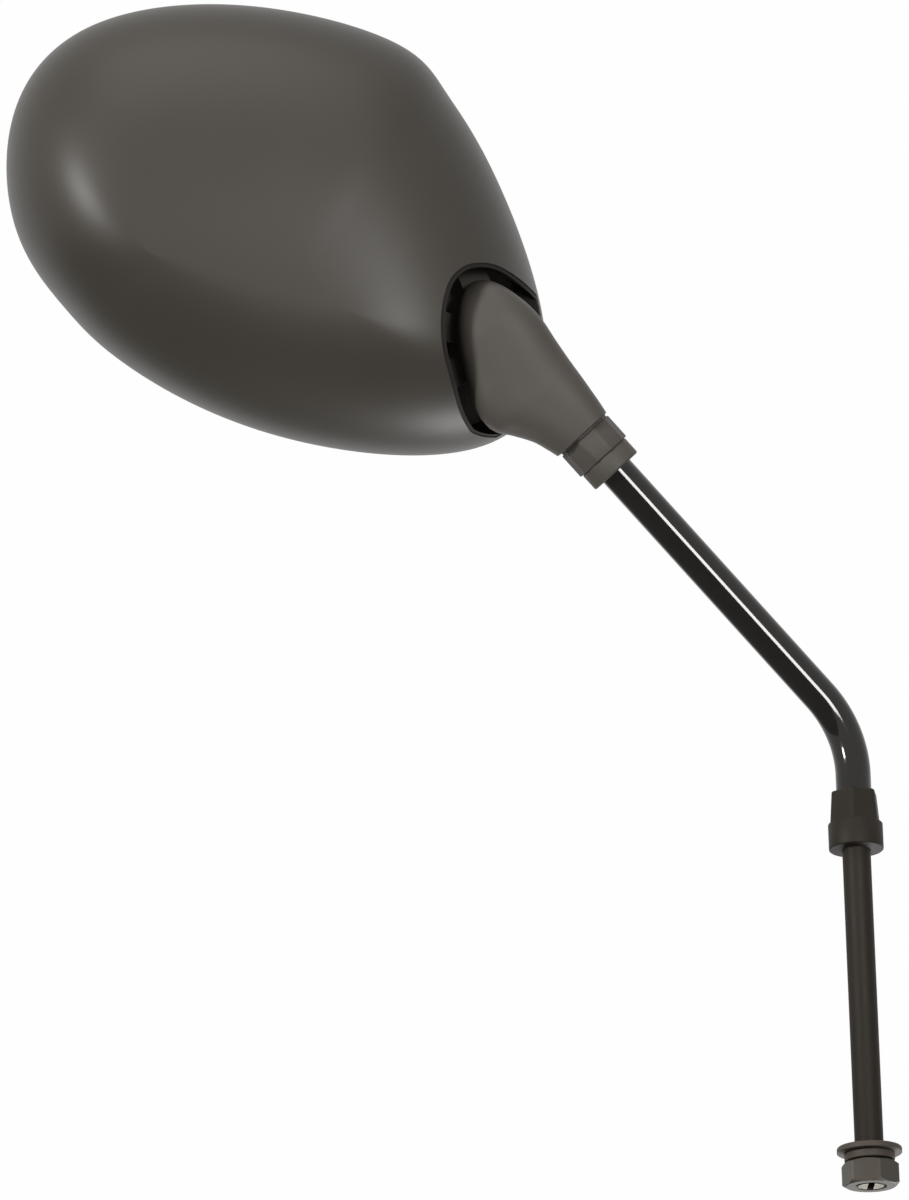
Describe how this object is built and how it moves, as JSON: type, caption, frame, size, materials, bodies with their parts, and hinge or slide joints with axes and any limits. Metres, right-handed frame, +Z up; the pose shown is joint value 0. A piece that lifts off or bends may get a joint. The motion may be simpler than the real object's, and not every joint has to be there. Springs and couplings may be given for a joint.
{
  "type": "motorcycle mirror",
  "caption": "Teardrop convex rear-view mirror on a bent rod, with a ball joint in the shell and a long stud with washers and a nut.",
  "frame": {"origin": "centre of the seat under the stud's round shoulder", "axes": "+Z up along the stud and away from its nut, +X from the head towards the stud, +Y the way the glass faces, level"},
  "size_m": [0.2475, 0.084, 0.3396],
  "materials": {
    "gloss_paint": "gloss black stove enamel",
    "stud_black": "matt black phosphate",
    "washer_black": "matt black phosphate",
    "nut_steel": "dark zinc, satin",
    "neck_grey": "matt dark grey powder coat on die-cast aluminium",
    "screw_steel": "bright zinc",
    "ball_steel": "polished",
    "cup_acetal": "black acetal, turned",
    "seat_steel": "pressed, black electro-coat",
    "spring_steel": "black electro-coat",
    "shell_grey": "satin moulded ABS, warm dark grey",
    "edging_rubber": "matt black rubber",
    "carrier_grey": "moulded ABS, mid grey",
    "pad_foam": "black foam tape",
    "glass_silvered": "convex mirror glass",
    "gasket_rubber": "matt black rubber"
  },
  "bodies": {
    "stem": {"mirror_arm": "gloss_paint", "mounting_stud": "stud_black", "flat_washer": "washer_black", "spring_washer": "washer_black", "hex_nut": "nut_steel", "neck": "neck_grey", "neck_grub_screw": "screw_steel", "ball_stud": "ball_steel"},
    "cup_back": {"liner_back": "cup_acetal"},
    "cup_front": {"liner_front": "cup_acetal"},
    "head": {"socket_base": "seat_steel", "socket_cap": "seat_steel", "socket_screws": "screw_steel", "socket_springs": "spring_steel", "socket_washers": "screw_steel", "housing_shell": "shell_grey", "mouth_edging": "edging_rubber", "glass_carrier": "carrier_grey", "carrier_screws": "screw_steel", "glass_pad": "pad_foam", "mirror_glass": "glass_silvered", "rim_gasket": "gasket_rubber"}
  },
  "joints": [
    {"name": "head_twist", "type": "hinge", "parent": "stem", "child": "cup_back", "pos_m": [-0.09681, -0.03125, 0.14184], "axis": [0, 0.9397, 0.342], "range_deg": [-3, 3]},
    {"name": "head_pan", "type": "hinge", "parent": "cup_back", "child": "cup_front", "pos_m": [-0.09681, -0.03125, 0.14184], "axis": [0, -0.342, 0.9397], "range_deg": [-9, 9]},
    {"name": "head_tilt", "type": "hinge", "parent": "cup_front", "child": "head", "pos_m": [-0.09681, -0.03125, 0.14184], "axis": [1, 0, 0], "range_deg": [-9, 9]}
  ]
}
